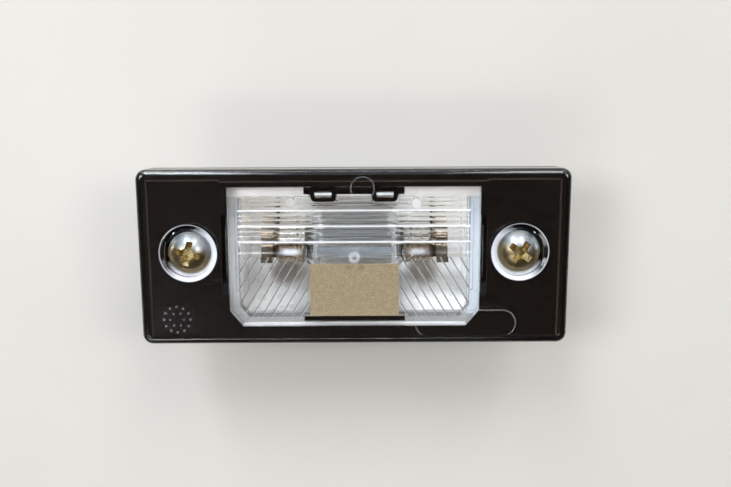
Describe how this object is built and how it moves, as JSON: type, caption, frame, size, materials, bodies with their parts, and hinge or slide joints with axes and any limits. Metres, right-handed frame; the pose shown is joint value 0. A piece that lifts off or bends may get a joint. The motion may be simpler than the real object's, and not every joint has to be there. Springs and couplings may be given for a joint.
{
  "type": "number plate lamp",
  "caption": "Rectangular rear number plate lamp: clear ribbed lens over a black housing, festoon bulb inside, fixed by screws through the face.",
  "frame": {"origin": "midway between the two screws, on the rear seal's back face, where the lamp meets the car", "axes": "+X along the lamp to the right of the picture, +Y to the picture's top, +Z out of the lens"},
  "size_m": [0.0938, 0.0386, 0.0325],
  "materials": {
    "lens": "polished clear plastic",
    "patch": "matt beige foil with a fine grain",
    "housing": "black moulded plastic",
    "reflector": "light silvery coating",
    "bulb_glass": "clear",
    "bulb_cap": "nickel plated, slightly worn",
    "bulb_wire": "drawn wire",
    "filament": "dark tungsten",
    "contact": "tinned spring strip",
    "screw": "yellow zinc plating",
    "seal": "black rubber"
  },
  "bodies": {
    "root": {"lens_cover": "lens", "glare_patch": "patch", "housing": "housing", "reflector": "reflector", "bulb_glass": "bulb_glass", "bulb_cap_left": "bulb_cap", "bulb_cap_right": "bulb_cap", "bulb_lead_left": "bulb_wire", "bulb_lead_right": "bulb_wire", "bulb_filament": "filament", "contact_left": "contact", "contact_right": "contact", "screw_left": "screw", "screw_right": "screw", "lens_seal": "seal", "rear_seal": "seal"}
  },
  "joints": []
}
